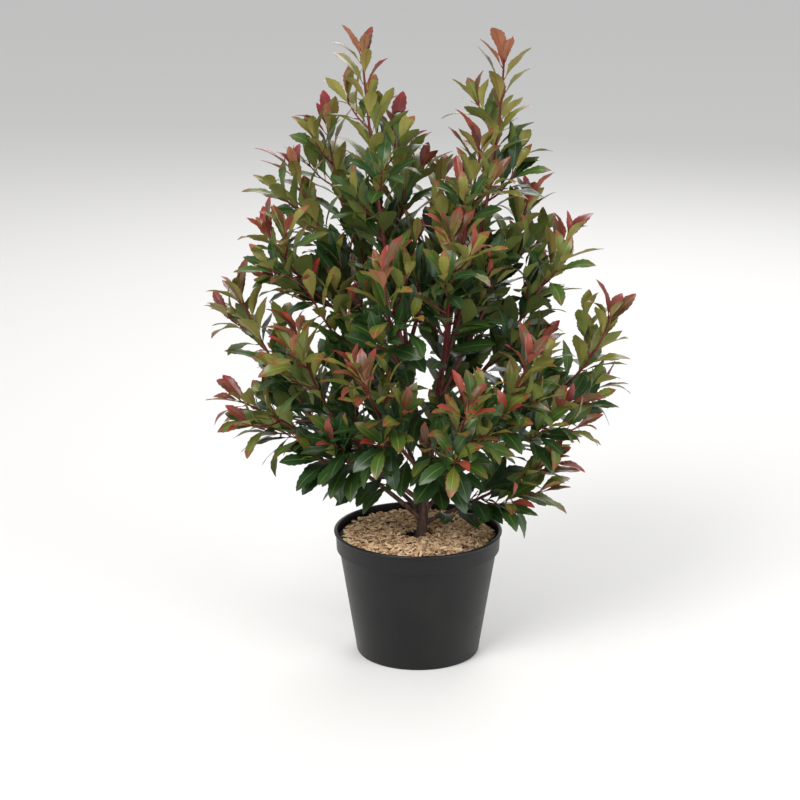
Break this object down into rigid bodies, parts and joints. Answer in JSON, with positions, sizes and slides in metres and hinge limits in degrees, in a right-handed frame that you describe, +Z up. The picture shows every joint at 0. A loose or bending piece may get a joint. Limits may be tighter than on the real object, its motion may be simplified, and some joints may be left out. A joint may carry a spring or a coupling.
{
  "type": "potted photinia shrub",
  "caption": "Young evergreen shrub with many upright stems, glossy dark green leaves and red shoot tips, in a round black nursery pot topped with wood chips.",
  "frame": {"origin": "middle of the pot's flat underside", "axes": "+Z up the plant, the fullest view looks along +Y, +X to the right in that view"},
  "size_m": [0.4936, 0.428, 0.7515],
  "materials": {
    "pot_plastic": "matte black moulded plastic",
    "potting_mix": "dark moist bark and peat mix",
    "wood_chips": "dry pale wood chips",
    "bark": "smooth red-brown young bark",
    "foliage": "glossy leaves, green with red young tips"
  },
  "bodies": {
    "root": {"bough_centre_back": "bark", "bough_far_left": "bark", "bough_far_right": "bark", "bough_front_centre": "bark", "bough_front_high": "bark", "bough_front_left": "bark", "bough_front_right": "bark", "bough_inner_spur": "bark", "bough_left_back": "bark", "bough_left_front": "bark", "bough_left_high": "bark", "bough_left_middle": "bark", "bough_left_outer": "bark", "bough_low_left": "bark", "bough_low_right": "bark", "bough_rear_left": "bark", "bough_rear_low_left": "bark", "bough_rear_low_right": "bark", "bough_rear_right": "bark", "bough_rear_upright": "bark", "bough_right_back": "bark", "bough_right_front": "bark", "bough_right_high": "bark", "bough_right_spur": "bark", "bough_tall_left": "bark", "bough_tall_right": "bark", "bough_upright_right": "bark", "leaves_centre_back": "foliage", "leaves_far_left": "foliage", "leaves_far_right": "foliage", "leaves_front_centre": "foliage", "leaves_front_high": "foliage", "leaves_front_left": "foliage", "leaves_front_right": "foliage", "leaves_inner_spur": "foliage", "leaves_left_back": "foliage", "leaves_left_front": "foliage", "leaves_left_high": "foliage", "leaves_left_middle": "foliage", "leaves_left_outer": "foliage", "leaves_low_left": "foliage", "leaves_low_right": "foliage", "leaves_rear_left": "foliage", "leaves_rear_low_left": "foliage", "leaves_rear_low_right": "foliage", "leaves_rear_right": "foliage", "leaves_rear_upright": "foliage", "leaves_right_back": "foliage", "leaves_right_front": "foliage", "leaves_right_high": "foliage", "leaves_right_spur": "foliage", "leaves_tall_left": "foliage", "leaves_tall_right": "foliage", "leaves_upright_right": "foliage", "main_stem": "bark", "pot": "pot_plastic", "potting_mix": "potting_mix", "wood_chip_mulch": "wood_chips"}
  },
  "joints": []
}
